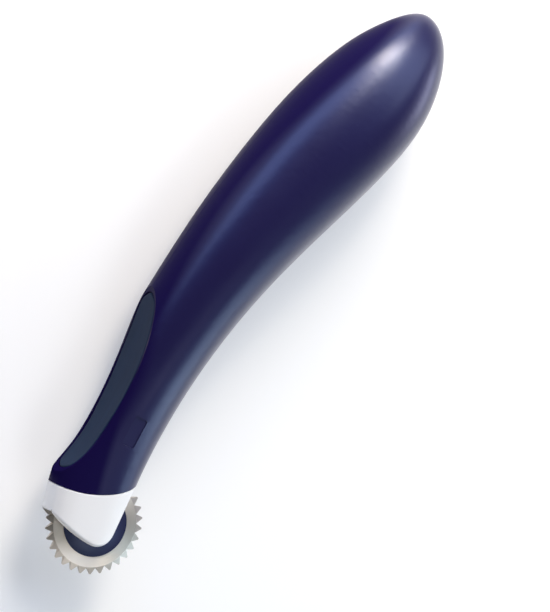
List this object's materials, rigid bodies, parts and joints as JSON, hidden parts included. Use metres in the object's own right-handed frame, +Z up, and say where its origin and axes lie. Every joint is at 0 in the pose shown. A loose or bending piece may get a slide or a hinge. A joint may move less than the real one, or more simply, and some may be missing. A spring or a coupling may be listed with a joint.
{
  "type": "tracing wheel",
  "caption": "Hand tracing wheel: a toothed steel wheel turns freely in a short white fork at the front of a curved, swelling handle with a soft inlaid finger rest.",
  "frame": {"origin": "bottom centre of the bounding box, on the surface that the tool lies on", "axes": "+X from the wheel towards the butt of the handle, +Y to the finger side, +Z up along the wheel's axle"},
  "size_m": [0.1714, 0.0384, 0.0287],
  "materials": {
    "handle_plastic": "satin moulded",
    "soft_inlay": "matte",
    "fork_plastic": "satin moulded",
    "bright_steel": "ground",
    "hub_plastic": "satin moulded"
  },
  "bodies": {
    "handle": {"handle_shell_upper": "handle_plastic", "handle_shell_lower": "handle_plastic", "finger_rest": "soft_inlay", "fork_cheek_upper": "fork_plastic", "fork_cheek_lower": "fork_plastic", "tang_pins": "bright_steel", "axle_pin": "bright_steel"},
    "wheel": {"toothed_disc": "bright_steel", "hub_upper": "hub_plastic", "hub_lower": "hub_plastic"}
  },
  "joints": [
    {"name": "wheel_spin", "type": "hinge", "parent": "handle", "child": "wheel", "pos_m": [-0.07218, -0.00419, 0.01433], "axis": [0, 0, 1], "continuous": true}
  ]
}
